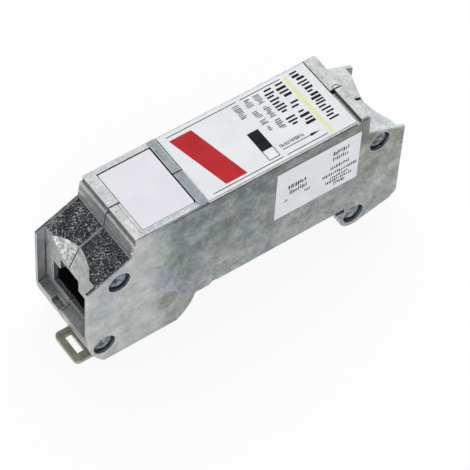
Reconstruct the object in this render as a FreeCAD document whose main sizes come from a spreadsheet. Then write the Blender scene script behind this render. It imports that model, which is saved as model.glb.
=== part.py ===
import FreeCAD, Part
import Sketcher
import math
import os

# A data line surge protector for a 35 mm mounting rail. Two zinc castings
# meet on the middle plane and four solid rivets hold them together. A data
# socket looks out of each end. A fixed lug grips one edge of the rail and a
# sprung latch grips the other; the latch is pulled by the loop at the front.
#
# Origin: middle of the seat that lies on the rail. +X runs along the length
# towards the protected side, +Z away from the rail. Millimetres.

SIZES = [
    # castings
    ("side_wall", 1.4),
    ("floor_wall", 1.5),
    ("roof_wall", 1.2),
    ("edge_round", 0.18),
    ("seam_bevel", 0.16),
    ("foot_drop", 7.05),
    # input end
    ("front_reach", 47.4),
    ("front_slope_run", 10.3),
    ("front_ledge_run", 0.55),
    ("front_top_run", 0.65),
    ("front_brow_rise", 3.75),
    ("front_step_rise", 4.75),
    ("crown_rise", 5.35),
    ("front_ledge_drop", 1.4),
    ("front_ledge_fall", 0.1),
    ("front_turn_height", 2.95),
    ("front_turn_radius", 14.2),
    ("toe_inset", 4.12),
    ("heel_gap", 2.9),
    ("heel_run", 4.8),
    ("heel_radius", 11.0),
    # output end
    ("rear_reach", 32.0),
    ("rear_slope_run", 9.8),
    ("rear_brow_rise", 3.45),
    ("rear_step_rise", 4.4),
    ("rear_bar_draft", 0.1),
    ("rear_bar_radius", 1.2),
    ("rear_corner_run", 2.9),
    ("rear_corner_height", 2.3),
    ("rear_corner_drop", 5.0),
    ("rear_corner_radius", 3.6),
    ("rear_left_rise", 0.5),
    # rail grip
    ("rail_width", 35.0),
    ("rail_gap", 0.4),
    ("seat_relief", 0.25),
    ("seat_relief_run", 2.2),
    ("lip_bite", 1.8),
    ("lip_drop", 1.15),
    ("lug_set", 2.5),
    ("lug_radius", 3.6),
    ("lug_flat", 0.8),
    # top details
    ("window_margin", 2.6),
    ("window_length", 12.85),
    ("window_edge", 1.55),
    ("window_depth", 1.05),
    ("window_corner", 0.35),
    ("window_slack", 0.14),
    ("ledge_drop", 0.2),
    ("ledge_front", 0.8),
    ("ledge_side", 0.62),
    ("ledge_line", 0.16),
    ("ledge_line_depth", 0.45),
    ("plate_thick", 0.9),
    ("plate_gap", 0.1),
    ("plate_rear_gap", 0.32),
    ("plate_corner", 0.3),
    ("bar_width", 1.9),
    ("bar_offset", 0.3),
    ("rear_bar_run", 3.6),
    ("rear_groove_width", 1.1),
    ("rear_groove_depth", 0.9),
    ("tongue_radius", 0.95),
    ("tongue_line", 0.16),
    ("tongue_depth", 0.4),
    ("tongue_place", 1.75),
    ("step_tongue_radius", 0.75),
    ("step_tongue_drop", 1.9),
    ("pin_mark_radius", 2.7),
    ("pin_mark_depth", 0.08),
    ("pin_mark_forward", 7.55),
    ("pin_mark_rise", 2.8),
    ("ridge_cut", 0.3),
    ("ridge_depth", 0.4),
    ("ridge_drop_one", 2.2),
    ("ridge_drop_two", 2.85),
    ("ridge_drop_three", 4.2),
    ("ridge_drop_four", 4.8),
    # socket mouths
    ("mouth_edge", 0.88),
    ("mouth_recess", 2.1),
    ("mouth_frame", 0.9),
    ("mouth_gap", 0.1),
    ("opening_gap", 0.12),
    ("notch_gap", 0.15),
    ("notch_rise", 3.35),
    ("sill_shelf_rise", 0.6),
    ("sill_shelf_drop", 2.4),
    ("scoop_shift", 1.0),
    ("scoop_radius", 16.0),
    ("scoop_angle", 26.6),
    ("scoop_edge_inset", 4.6),
    ("scoop_below", 8.0),
    ("scoop_above", 14.0),
    ("frame_line_width", 0.25),
    ("frame_line_depth", 0.35),
    ("frame_line_low", 0.9),
    ("frame_line_high", 0.6),
    ("rim_line_inset", 0.62),
    ("rim_line_width", 0.16),
    ("rim_line_depth", 0.14),
    ("pocket_left", 0.35),
    ("pocket_right", 3.8),
    ("pocket_low", 1.5),
    ("pocket_depth", 1.5),
    # inside
    ("bay_head", 0.55),
    ("bay_tail", 1.4),
    ("hall_inset", 1.9),
    ("hall_rear_inset", 1.6),
    ("core_inset", 7.2),
    ("core_tail", 0.4),
    ("core_floor", 1.45),
    ("core_roof", 1.1),
    # rivets
    ("rivet_brow_inset", 7.7),
    ("rivet_brow_drop", 1.1),
    ("rivet_toe_inset", 4.2),
    ("rivet_toe_drop", 1.35),
    ("rivet_rear_inset", 6.7),
    ("rivet_rear_drop", 0.6),
    ("rivet_fit", 0.07),
    ("rivet_shank", 1.58),
    ("rivet_head", 2.3),
    ("rivet_rim", 0.2),
    ("rivet_dome", 0.65),
    ("sink_gap", 0.35),
    ("sink_depth", 1.0),
    # latch
    ("strap_thick", 1.0),
    ("strap_rise", 2.0),
    ("strap_left", 0.12),
    ("strap_side", 0.98),
    ("strap_gap", 0.16),
    ("loop_proud", 2.05),
    ("loop_bar", 1.5),
    ("loop_window_length", 1.75),
    ("loop_side_left", 1.63),
    ("loop_side_right", 1.87),
    ("loop_corner", 1.1),
    ("nose_bite", 1.6),
    ("nose_bevel", 0.5),
    ("latch_travel", 3.0),
    ("ramp_inset", 3.4),
    ("ramp_run", 2.6),
    ("ramp_lean", 0.4),
    ("spring_slot_inset", 6.1),
    ("spring_slot_tail", 2.0),
    ("spring_slot_gap", 0.28),
    ("spring_radius", 1.15),
    ("spring_wire", 0.22),
    ("spring_turns", 4.0),
    ("spring_end_gap", 0.06),
    ("spring_bay_gap", 0.3),
    ("post_gap", 0.2),
    ("post_length", 1.1),
    # circuit
    ("sheet_thick", 0.2),
    ("board_thick", 1.6),
    ("board_gap", 0.2),
    ("jack_half", 7.9),
    ("jack_side_gap", 0.4),
    ("jack_height", 11.5),
    ("jack_length", 20.6),
    ("jack_set", 0.1),
    ("jack_skin", 0.25),
    ("jack_gap", 0.05),
    ("plug_half", 5.88),
    ("plug_low", 1.7),
    ("plug_height", 6.75),
    ("plug_depth", 14.0),
    ("latch_notch_half", 3.2),
    ("latch_notch_height", 1.9),
    ("latch_notch_depth", 9.0),
    ("contact_width", 0.45),
    ("contact_pitch", 1.02),
    ("contact_thick", 0.3),
    ("contact_count", 8.0),
    ("contact_inset", 2.6),
    ("contact_foot", 1.2),
    ("contact_run", 7.6),
    ("contact_rise", 1.9),
    ("tube_radius", 2.4),
    ("tube_cap_radius", 2.6),
    ("tube_length", 7.4),
    ("tube_cap_width", 0.9),
    ("tube_edge", 0.3),
    ("array_length", 4.9),
    ("array_width", 3.9),
    ("array_height", 1.5),
    ("array_stand", 0.1),
    ("array_edge", 1.15),
    ("lead_reach", 1.0),
    ("lead_thick", 0.25),
    ("lead_width", 0.5),
    ("lead_height", 0.8),
    ("earth_bay", 3.4),
    ("earth_spring_width", 2.6),
    ("earth_spring_thick", 0.3),
    ("earth_spring_height", 7.0),
    ("earth_spring_foot", 2.4),
    # labels
    ("label_drop", 0.3),
    ("label_thick", 0.12),
    ("label_edge", 0.4),
    ("label_gap", 0.1),
    ("side_label_inset", 12.1),
    ("side_label_length", 21.3),
    ("side_label_drop", 3.75),
    ("side_label_height", 15.0),
]

doc = FreeCAD.newDocument("surge_protector")
sheet = doc.addObject("Spreadsheet::Sheet", "Sizes")
for row, (alias, number) in enumerate(SIZES, start=1):
    sheet.set("A%d" % row, alias)
    sheet.set("B%d" % row, "%g" % number)
    sheet.setAlias("B%d" % row, alias)
doc.recompute()


class Size:
    """A length that knows its number now and its formula in the sheet."""

    def __init__(self, value, text):
        self.value = float(value)
        self.text = text

    def _join(self, other, sign, value):
        return Size(value, "(%s %s %s)" % (self.text, sign, other.text))

    def __add__(self, other):
        other = size(other)
        return self._join(other, "+", self.value + other.value)

    def __radd__(self, other):
        return size(other) + self

    def __sub__(self, other):
        other = size(other)
        return self._join(other, "-", self.value - other.value)

    def __rsub__(self, other):
        return size(other) - self

    def __mul__(self, other):
        other = size(other)
        return self._join(other, "*", self.value * other.value)

    def __truediv__(self, other):
        other = size(other)
        return self._join(other, "/", self.value / other.value)

    def __neg__(self):
        return Size(-self.value, "(0 - %s)" % self.text)


def size(value):
    if isinstance(value, Size):
        return value
    return Size(value, "%g" % value)


S = {}
for alias, number in SIZES:
    S[alias] = Size(number, "Sizes.%s" % alias)

X_AXIS = FreeCAD.Vector(1, 0, 0)
Y_AXIS = FreeCAD.Vector(0, 1, 0)
Z_AXIS = FreeCAD.Vector(0, 0, 1)
TURN = {
    "X": FreeCAD.Rotation(Y_AXIS, 90),
    "Y": FreeCAD.Rotation(X_AXIS, -90),
    "Z": FreeCAD.Rotation(),
}
made = []
nodes = []


def bind(thing, prop, value):
    thing.setExpression(prop, size(value).text)


def place(thing, x, y, z, rotation=None):
    spin = rotation if rotation is not None else FreeCAD.Rotation()
    here = FreeCAD.Vector(size(x).value, size(y).value, size(z).value)
    thing.Placement = FreeCAD.Placement(here, spin)
    bind(thing, "Placement.Base.x", x)
    bind(thing, "Placement.Base.y", y)
    bind(thing, "Placement.Base.z", z)


def box(name, x_low, x_high, y_low, y_high, z_low, z_high):
    thing = doc.addObject("Part::Box", name)
    bind(thing, "Length", size(x_high) - x_low)
    bind(thing, "Width", size(y_high) - y_low)
    bind(thing, "Height", size(z_high) - z_low)
    place(thing, x_low, y_low, z_low)
    made.append(thing)
    return thing


def rod(name, axis, radius, length, x, y, z):
    """A round bar that starts at the given point and runs along an axis."""
    thing = doc.addObject("Part::Cylinder", name)
    bind(thing, "Radius", radius)
    bind(thing, "Height", length)
    place(thing, x, y, z, TURN[axis])
    made.append(thing)
    return thing


def fuse(name, *things):
    whole = doc.addObject("Part::MultiFuse", name)
    whole.Shapes = list(things)
    made.append(whole)
    return whole


def cut(name, base, *tools):
    whole = doc.addObject("Part::Cut", name)
    whole.Base = base
    whole.Tool = tools[0] if len(tools) == 1 else fuse(name + "_tools", *tools)
    made.append(whole)
    return whole


def finish(thing, label):
    thing.Label = label
    nodes.append(thing)
    return thing


def plane_of(body, role):
    for feature in body.Origin.OriginFeatures:
        if feature.Role == role:
            return feature
    raise RuntimeError("no plane " + role)


def outline(body, name, role, corners, offset=None):
    """A closed sketch. Each corner is (x, y) or (x, y, radius, turn): the
    last two bend the side that leaves it, turn is 1 to the left."""
    sketch = body.newObject("Sketcher::SketchObject", name)
    sketch.AttachmentSupport = [(plane_of(body, role), "")]
    sketch.MapMode = "FlatFace"
    if offset is not None:
        sketch.setExpression("AttachmentOffset.Base.z", size(offset).text)
    count = len(corners)
    ends = []
    for index, corner in enumerate(corners):
        here = FreeCAD.Vector(size(corner[0]).value, size(corner[1]).value, 0)
        after = corners[(index + 1) % count]
        there = FreeCAD.Vector(size(after[0]).value, size(after[1]).value, 0)
        if len(corner) == 2:
            sketch.addGeometry(Part.LineSegment(here, there), False)
            ends.append((1, 2))
            continue
        radius = size(corner[2]).value
        turn = corner[3]
        chord = there.sub(here)
        half = chord.Length / 2.0
        rise = math.sqrt(max(radius * radius - half * half, 0.0))
        normal = FreeCAD.Vector(-chord.y, chord.x, 0).normalize()
        centre = here.add(chord.multiply(0.5)).add(normal.multiply(rise * turn))
        first = here if turn > 0 else there
        last = there if turn > 0 else here
        start = math.atan2(first.y - centre.y, first.x - centre.x)
        stop = math.atan2(last.y - centre.y, last.x - centre.x)
        if stop < start:
            stop += 2 * math.pi
        circle = Part.Circle(centre, Z_AXIS, radius)
        sketch.addGeometry(Part.ArcOfCircle(circle, start, stop), False)
        ends.append((1, 2) if turn > 0 else (2, 1))
    for index, corner in enumerate(corners):
        before = (index - 1) % count
        link = Sketcher.Constraint("Coincident", before, ends[before][1], index, ends[index][0])
        sketch.addConstraint(link)
    for index, corner in enumerate(corners):
        for kind, value in (("DistanceX", corner[0]), ("DistanceY", corner[1])):
            value = size(value)
            rule = Sketcher.Constraint(kind, -1, 1, index, ends[index][0], value.value)
            number = sketch.addConstraint(rule)
            title = "%s_%d" % ("across" if kind == "DistanceX" else "up", index)
            sketch.renameConstraint(number, title)
            sketch.setExpression("Constraints." + title, value.text)
        if len(corner) > 2:
            value = size(corner[2])
            number = sketch.addConstraint(Sketcher.Constraint("Radius", index, value.value))
            title = "bend_%d" % index
            sketch.renameConstraint(number, title)
            sketch.setExpression("Constraints." + title, value.text)
    made.append(sketch)
    return sketch


def body_named(name):
    body = doc.addObject("PartDesign::Body", name)
    made.append(body)
    return body


def pad(body, name, sketch, length, back=False, midplane=False):
    feature = body.newObject("PartDesign::Pad", name)
    feature.Profile = sketch
    bind(feature, "Length", length)
    feature.Reversed = back
    if midplane:
        feature.Midplane = True
    sketch.Visibility = False
    body.Tip = feature
    made.append(feature)
    return feature


def rounded_block(name, x_low, x_high, y_low, y_high, z_low, height, corner):
    """A plate with round corners seen from above."""
    body = body_named(name)
    sketch = outline(body, name + "_outline", "XY_Plane", [
        (x_low, y_low + corner, corner, 1),
        (x_low + corner, y_low),
        (x_high - corner, y_low, corner, 1),
        (x_high, y_low + corner),
        (x_high, y_high - corner, corner, 1),
        (x_high - corner, y_high),
        (x_low + corner, y_high, corner, 1),
        (x_low, y_high - corner),
    ], z_low)
    pad(body, name + "_pad", sketch, height)
    return body


# Across the width, from the data sockets outward.
inner_half = S["jack_half"] + S["jack_side_gap"]
half = inner_half + S["side_wall"]
beyond = half + 1
board_half = inner_half - S["board_gap"]
opening_half = S["plug_half"] + S["opening_gap"]
notch_half = S["latch_notch_half"] + S["notch_gap"]
mouth_half = half - S["mouth_edge"]
window_half = half - S["window_edge"]
label_half = half - S["label_edge"]

# Up from the floor that carries the board, through the sockets, to the top.
board_low = S["floor_wall"] + S["sheet_thick"]
board_high = board_low + S["board_thick"]
jack_top = board_high + S["jack_height"]
plug_low = board_high + S["plug_low"]
plug_high = plug_low + S["plug_height"]
mouth_sill = plug_low - S["mouth_gap"]
shelf_low = mouth_sill - S["sill_shelf_drop"]
shelf_high = shelf_low + S["sill_shelf_rise"]
notch_top = plug_high + S["notch_rise"]
front_brow = notch_top + S["front_brow_rise"]
front_step = front_brow + S["front_step_rise"]
top = front_step + S["crown_rise"]
front_ledge = top - S["front_ledge_drop"]
rear_brow = notch_top + S["rear_brow_rise"]
rear_step = rear_brow + S["rear_step_rise"]
field_floor = top - S["label_drop"]
ground = -S["foot_drop"]

# Along the length, from the two end faces inward.
front = -S["front_reach"]
front_step_x = front + S["front_slope_run"]
front_ledge_x = front_step_x + S["front_ledge_run"]
front_top_x = front_ledge_x + S["front_top_run"]
rear = S["rear_reach"]
rear_step_x = rear - S["rear_slope_run"]
rear_bar_x = rear_step_x - S["rear_bar_draft"]
front_inner = front + S["mouth_recess"] + S["mouth_frame"]
rear_inner = rear - S["mouth_recess"] - S["mouth_frame"]
window_front = front_top_x + S["window_margin"]
window_rear = window_front + S["window_length"]
field_front = window_rear + S["bar_width"]
field_rear = rear_step_x - S["rear_bar_run"]

# Rail grip, from the middle of the rail.
rail_half = S["rail_width"] / 2
seat_end = rail_half + S["rail_gap"]
seat_half = rail_half - S["seat_relief_run"]
heel_x = -rail_half - S["heel_gap"]
foot_heel_x = heel_x - S["heel_run"]
lug_x = seat_end + S["lug_set"]
lug_z = ground + S["lug_radius"]

# Side outline, drawn on the middle plane from the top front corner down the
# input end, along the foot, the rail recess and the lug, and back over the top.
# The left half stands a little higher behind the label than the right half.
def side_outline(rear_rise):
    return [
        (front_top_x, top),
        (front_top_x, front_ledge + S["front_ledge_fall"]),
        (front_ledge_x, front_ledge),
        (front_step_x, front_step),
        (front, front_brow),
        (front, S["front_turn_height"], S["front_turn_radius"], 1),
        (front + S["toe_inset"], ground),
        (foot_heel_x, ground, S["heel_radius"], 1),
        (heel_x, 0),
        (seat_end, 0),
        (seat_end, -S["lip_drop"]),
        (rail_half - S["lip_bite"], -S["lip_drop"]),
        (lug_x - S["lug_radius"], lug_z, S["lug_radius"], 1),
        (lug_x, ground),
        (lug_x + S["lug_flat"], ground),
        (rear - S["rear_corner_run"], -S["rear_corner_drop"], S["rear_corner_radius"], 1),
        (rear, -S["rear_corner_height"]),
        (rear, rear_brow + rear_rise),
        (rear_step_x, rear_step + rear_rise),
        (rear_bar_x, top - S["rear_bar_radius"], S["rear_bar_radius"], 1),
        (rear_bar_x - S["rear_bar_radius"], top),
    ]


rivets = {
    "rivet_front_upper": (front + S["rivet_brow_inset"], front_brow - S["rivet_brow_drop"]),
    "rivet_front_lower": (front + S["rivet_toe_inset"], -S["rivet_toe_drop"]),
    "rivet_rear_upper": (rear - S["rivet_rear_inset"], rear_brow - S["rivet_rear_drop"]),
    "rivet_rear_lower": (lug_x, lug_z),
}
rivet_bore = S["rivet_shank"] + S["rivet_fit"]
sink_radius = S["rivet_head"] + S["sink_gap"]

# Hollows that both castings share.
shared = []
bay_top = jack_top + S["bay_head"]
bay_length = S["jack_length"] + S["bay_tail"]
shared.append(box("front_bay", front_inner, front_inner + bay_length,
                  -inner_half, inner_half, S["floor_wall"], bay_top))
shared.append(box("rear_bay", rear_inner - bay_length, rear_inner,
                  -inner_half, inner_half, S["floor_wall"], bay_top))
shared.append(box("hall", front_top_x + S["hall_inset"], rear_step_x - S["hall_rear_inset"],
                  -inner_half, inner_half, S["floor_wall"],
                  top - S["window_depth"] - S["roof_wall"]))

# Marking window with round corners.
window_block = rounded_block("window_block", window_front, window_rear, -window_half, window_half,
                             top - S["window_depth"], S["window_depth"] + 1, S["window_corner"])
shared.append(window_block)

# Four fine grooves across the front step. Each is cut square to the drafted
# face, whose lean is the ledge run over the face's height.
step_lean = S["front_ledge_run"] / (front_ledge - front_step)
for tag in ("one", "two", "three", "four"):
    groove_high = top - S["ridge_drop_" + tag]
    face_x = front_ledge_x - step_lean * (front_ledge - groove_high)
    shared.append(box("ridge_groove_" + tag, face_x - S["ridge_cut"] - 1, face_x + S["ridge_depth"],
                      -beyond, beyond, groove_high - S["ridge_cut"], groove_high))


def from_end(sign, face, name, near, far, y_low, y_high, z_low, z_high):
    """A box that starts near and stops far inside an end face."""
    a = face - size(near) * sign
    b = face - size(far) * sign
    low, high = (a, b) if sign < 0 else (b, a)
    return box(name, low, high, y_low, y_high, z_low, z_high)


# Plug openings in the end frames, the shelf under each, and the finger scoops.
# A scoop is part of a leaning cylinder, no wider than the mouth below it, and
# its left half is drawn from an axis a little to the right.
scoops = {-1: [], 1: []}
ENDS = (
    ("front", -1, front, front_inner, front_brow, front_step, S["front_slope_run"]),
    ("rear", 1, rear, rear_inner, rear_brow, rear_step, S["rear_slope_run"]),
)
for end, sign, face, inside, brow, step, run in ENDS:
    frame_end = S["mouth_recess"] + S["mouth_frame"] + 0.5
    shared.append(from_end(sign, face, end + "_opening", -2, frame_end,
                           -opening_half, opening_half, mouth_sill, plug_high))
    shared.append(from_end(sign, face, end + "_notch", -2, frame_end,
                           -notch_half, notch_half, plug_high - 0.5, notch_top))
    shelf_block = body_named(end + "_shelf_block")
    shelf_sketch = outline(shelf_block, end + "_shelf_outline", "XZ_Plane", [
        (face - S["mouth_recess"] * sign, mouth_sill + 0.1),
        (face + size(2) * sign, mouth_sill + 0.1),
        (face + size(2) * sign, shelf_low),
        (face, shelf_low),
        (face - S["mouth_recess"] * sign, shelf_high),
    ])
    pad(shelf_block, end + "_shelf_pad", shelf_sketch, mouth_half * 2, midplane=True)
    shared.append(shelf_block)
    edge_x = face - S["scoop_edge_inset"] * sign
    edge_z = brow + S["scoop_edge_inset"] * (step - brow) / run
    across = "(Sizes.scoop_below * sin(Sizes.scoop_angle * 1 deg)" \
             " + Sizes.scoop_radius * cos(Sizes.scoop_angle * 1 deg))"
    upward = "(Sizes.scoop_radius * sin(Sizes.scoop_angle * 1 deg)" \
             " - Sizes.scoop_below * cos(Sizes.scoop_angle * 1 deg))"
    for side in (-1, 1):
        name = end + ("_right" if side < 0 else "_left")
        scoop = doc.addObject("Part::Cylinder", name + "_scoop")
        bind(scoop, "Radius", S["scoop_radius"])
        bind(scoop, "Height", S["scoop_below"] + S["scoop_above"])
        scoop.Placement.Rotation = FreeCAD.Rotation(Y_AXIS * (-sign), S["scoop_angle"].value)
        scoop.setExpression("Placement.Rotation.Angle", "Sizes.scoop_angle * 1 deg")
        scoop.setExpression("Placement.Base.x", "%s + %d * %s" % (edge_x.text, sign, across))
        scoop.setExpression("Placement.Base.z", "%s + %s" % (edge_z.text, upward))
        if side > 0:
            bind(scoop, "Placement.Base.y", -S["scoop_shift"])
        made.append(scoop)
        y_low = -mouth_half if side < 0 else size(0)
        y_high = size(0) if side < 0 else mouth_half
        keep = from_end(sign, face, name + "_scoop_width", -4, S["scoop_edge_inset"] + 7,
                        y_low, y_high, notch_top - 0.4, top + 8)
        trimmed = doc.addObject("Part::Common", name + "_scoop_hollow")
        trimmed.Base = scoop
        trimmed.Tool = keep
        made.append(trimmed)
        scoops[side].append(trimmed)

# Shallow reliefs either side of the seat, so that only its middle bears.
shared.append(box("seat_relief_front", heel_x - 0.4, -seat_half,
                  -beyond, beyond, size(-0.2), S["seat_relief"]))
shared.append(box("seat_relief_rear", seat_half, seat_end,
                  -beyond, beyond, size(-0.2), S["seat_relief"]))

# Rivet bores and the round sinks for their heads.
for name, (x, z) in rivets.items():
    shared.append(rod(name + "_bore", "Y", rivet_bore, beyond * 2, x, -beyond, z))
    shared.append(rod(name + "_sink_right", "Y", sink_radius, S["sink_depth"] + 1, x, -beyond, z))
    shared.append(rod(name + "_sink_left", "Y", sink_radius, S["sink_depth"] + 1,
                      x, half - S["sink_depth"], z))

# Latch levels and the spring's seat, which the right casting and latch share.
strap_low = ground + S["strap_rise"]
strap_high = strap_low + S["strap_thick"]
strap_right = half - S["strap_side"]
nose_high = -S["lip_drop"]
nose_low = nose_high - S["strap_thick"]
ramp_start = foot_heel_x - S["ramp_inset"]
ramp_end = ramp_start + S["ramp_run"]
slot_front = front + S["spring_slot_inset"]
slot_rear = ramp_start - S["spring_slot_tail"]
slot_half = S["spring_radius"] + S["spring_wire"] + S["spring_slot_gap"]
bay_half = S["spring_radius"] + S["spring_wire"] + S["spring_bay_gap"]
post_front = slot_front + S["post_gap"]
post_rear = post_front + S["post_length"]
spring_y = -(S["strap_left"] + strap_right) / 2
spring_z = strap_low + S["strap_thick"] / 2


def break_edges(body, name, base, y, amount):
    """Bevel the edges of the side outline that lie at y. The rail recess
    and the lug keep sharp edges, which bite on the rail."""
    chosen = []
    for index, edge in enumerate(base.Shape.Edges, start=1):
        reach = edge.BoundBox
        level = abs(reach.YMin - y) < 0.001 and abs(reach.YMax - y) < 0.001
        middle = edge.CenterOfMass
        at_rail = middle.x > heel_x.value and middle.z < 0.001
        if level and not at_rail:
            chosen.append("Edge%d" % index)
    feature = body.newObject("PartDesign::Chamfer", name)
    feature.Base = (base, chosen)
    bind(feature, "Size", amount)
    body.Tip = feature
    made.append(feature)
    return feature


def casting(name, sign):
    """One half of the housing: sign is -1 for the right half at -Y."""
    body = body_named(name + "_casting")
    sketch = outline(body, name + "_outline", "XZ_Plane",
                     side_outline(S["rear_left_rise"] if sign > 0 else size(0)))
    block = pad(body, name + "_block", sketch, half, back=sign > 0)
    doc.recompute()
    rounding = break_edges(body, name + "_edges", block, sign * half.value, S["edge_round"])
    doc.recompute()
    break_edges(body, name + "_seam", rounding, 0.0, S["seam_bevel"])
    tools = list(shared) + scoops[sign]
    # The end frames stand back behind the side walls.
    mouth_low = -mouth_half if sign < 0 else size(-1)
    mouth_high = size(1) if sign < 0 else mouth_half
    for end, end_sign, face, inside, brow, step, run in ENDS:
        tools.append(from_end(end_sign, face, "%s_%s_recess" % (name, end), -2,
                              S["mouth_recess"], mouth_low, mouth_high, mouth_sill, step + 1))
    # Lowered field of the top label.
    y_low = -beyond if sign < 0 else size(0)
    y_high = size(0) if sign < 0 else beyond
    bar_end = field_front if sign > 0 else field_front + S["bar_offset"]
    tools.append(box(name + "_label_field", bar_end, field_rear + 0.1, y_low, y_high,
                     field_floor, top + 1))
    if sign < 0:
        # A ledge round the marking plate with a fine line at its outer edge, and
        # the groove behind the top label.
        ledge_x = window_front - S["ledge_front"]
        ledge_y = -window_half - S["ledge_side"]
        line = S["ledge_line"]
        line_low = top - S["ledge_line_depth"]
        tools.append(box("window_ledge", ledge_x, window_rear, ledge_y, size(1),
                         top - S["ledge_drop"], top + 1))
        tools.append(box("ledge_line_front", ledge_x, ledge_x + line, ledge_y, size(1),
                         line_low, top + 1))
        tools.append(box("ledge_line_side", ledge_x, window_rear, ledge_y, ledge_y + line,
                         line_low, top + 1))
        tools.append(box("rear_groove", field_rear, field_rear + S["rear_groove_width"],
                         -beyond, size(1), top - S["rear_groove_depth"], top + 1))
        # Round mark of an ejector pin on the foot.
        tools.append(rod("pin_mark", "Y", S["pin_mark_radius"], S["pin_mark_depth"] + 1,
                         heel_x - S["pin_mark_forward"], -half - 1, S["pin_mark_rise"]))
        gap = S["strap_gap"]
        y_right = -strap_right - gap
        tools.append(box("strap_way", front - 2, ramp_end, y_right, size(0.5),
                         strap_low - gap, strap_high + gap))
        tools.append(box("ramp_way", ramp_start - S["latch_travel"] - S["ramp_lean"] * 2,
                         ramp_end + gap, y_right, size(0.5), strap_low - gap, nose_high + gap))
        tools.append(box("nose_way", ramp_end - 0.5, -seat_half - 1, y_right, size(0.5),
                         nose_low - gap, nose_high + gap))
        tools.append(box("spring_bay", post_rear, slot_rear + 0.3,
                         spring_y - bay_half, spring_y + bay_half,
                         spring_z - bay_half, spring_z + bay_half))
    else:
        tools.append(box("foot_core", front + S["core_inset"], foot_heel_x - S["core_tail"],
                         size(-0.5), inner_half, ground + S["core_floor"],
                         S["floor_wall"] - S["core_roof"]))
        tools.append(box("front_pocket", front - 1, front + S["pocket_depth"], S["pocket_left"],
                         S["pocket_right"], S["pocket_low"], mouth_sill))
        tools.append(box("frame_line", front, front + S["mouth_recess"] + S["frame_line_depth"],
                         mouth_half - S["frame_line_width"], mouth_half,
                         shelf_high + S["frame_line_low"], notch_top - S["frame_line_high"]))
        # Clearance round the marking plate on this side of the window.
        slack = S["window_slack"]
        tools.append(box("window_slack_block", window_front - slack, window_rear, size(-1),
                         window_half + slack, top - S["window_depth"], top + 1))
        # Fine line inside the outer edge of the front slope.
        rim = body_named("rim_line")
        rim_low = half - S["rim_line_inset"] - S["rim_line_width"]
        rim_sketch = outline(rim, "rim_line_outline", "XZ_Plane", [
            (front - 1, front_brow - S["rim_line_depth"]),
            (front, front_brow - S["rim_line_depth"]),
            (front_step_x, front_step - S["rim_line_depth"]),
            (front_step_x, front_step + 1),
            (front - 1, front_step + 1),
        ], -rim_low)
        pad(rim, "rim_line_pad", rim_sketch, S["rim_line_width"], back=True)
        tools.append(rim)
        # Rounded ends of the right half, marked as fine curved lines: one on the
        # bar behind the label, one on the front step.
        tongue_x = field_rear + S["tongue_place"]
        tongue_low = top - S["tongue_depth"]
        tongue_out = rod("tongue_out", "Z", S["tongue_radius"], S["tongue_depth"] + 1,
                         tongue_x, size(0), tongue_low)
        tongue_in = rod("tongue_in", "Z", S["tongue_radius"] - S["tongue_line"],
                        S["tongue_depth"] + 2, tongue_x, size(0), tongue_low - 0.5)
        tools.append(cut("tongue_ring", tongue_out, tongue_in))
        step_z = top - S["step_tongue_drop"]
        step_out = rod("step_tongue_out", "X", S["step_tongue_radius"], S["tongue_depth"] + 1,
                       front_step_x - 1, size(0), step_z)
        step_in = rod("step_tongue_in", "X", S["step_tongue_radius"] - S["tongue_line"],
                      S["tongue_depth"] + 4, front_step_x - 2, size(0), step_z)
        tools.append(cut("step_tongue_ring", step_out, step_in))
    whole = cut(name + "_hollowed", body, *tools)
    if sign < 0:
        post = box("spring_post", post_front, post_rear,
                   spring_y - S["spring_radius"], spring_y + S["spring_radius"],
                   strap_low - S["strap_gap"] * 2, strap_high + S["strap_gap"] * 2)
        whole = fuse(name + "_whole", whole, post)
    return finish(whole, name)


casting("housing_right", -1)
casting("housing_left", 1)

# Solid rivets with low round heads, turned about an axis along Y.
head_in = half - S["sink_depth"]
head_rim = head_in + S["rivet_rim"]
head_out = head_rim + S["rivet_dome"]
dome_radius = (S["rivet_head"] * S["rivet_head"] + S["rivet_dome"] * S["rivet_dome"]) / (
    S["rivet_dome"] * 2)
rivet_outline = [
    (0, -head_out, dome_radius, 1),
    (S["rivet_head"], -head_rim),
    (S["rivet_head"], -head_in),
    (S["rivet_shank"], -head_in),
    (S["rivet_shank"], head_in),
    (S["rivet_head"], head_in),
    (S["rivet_head"], head_rim, dome_radius, 1),
    (0, head_out),
]
for name, (x, z) in rivets.items():
    body = body_named(name)
    sketch = outline(body, name + "_profile", "XY_Plane", rivet_outline)
    turned = body.newObject("PartDesign::Revolution", name + "_turned")
    turned.Profile = sketch
    turned.ReferenceAxis = (sketch, ["V_Axis"])
    turned.Angle = 360
    body.Tip = turned
    made.append(turned)
    place(body, x, 0, z)
    finish(body, name)

# Blank marking plate in the window, and the two labels.
gap = S["plate_gap"]
finish(rounded_block("marking_plate", window_front + gap, window_rear - S["plate_rear_gap"],
                     gap - window_half, window_half - gap,
                     top - S["window_depth"], S["plate_thick"], S["plate_corner"]),
       "marking_plate")
finish(box("top_label", field_front + S["bar_offset"] + S["label_gap"], field_rear - S["label_gap"],
           -label_half, label_half, field_floor, field_floor + S["label_thick"]), "top_label")
side_label_rear = rear - S["side_label_inset"]
side_label_high = top - S["side_label_drop"]
finish(box("side_label", side_label_rear - S["side_label_length"], side_label_rear,
           -half - S["label_thick"], -half,
           side_label_high - S["side_label_height"], side_label_high), "side_label")

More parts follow.
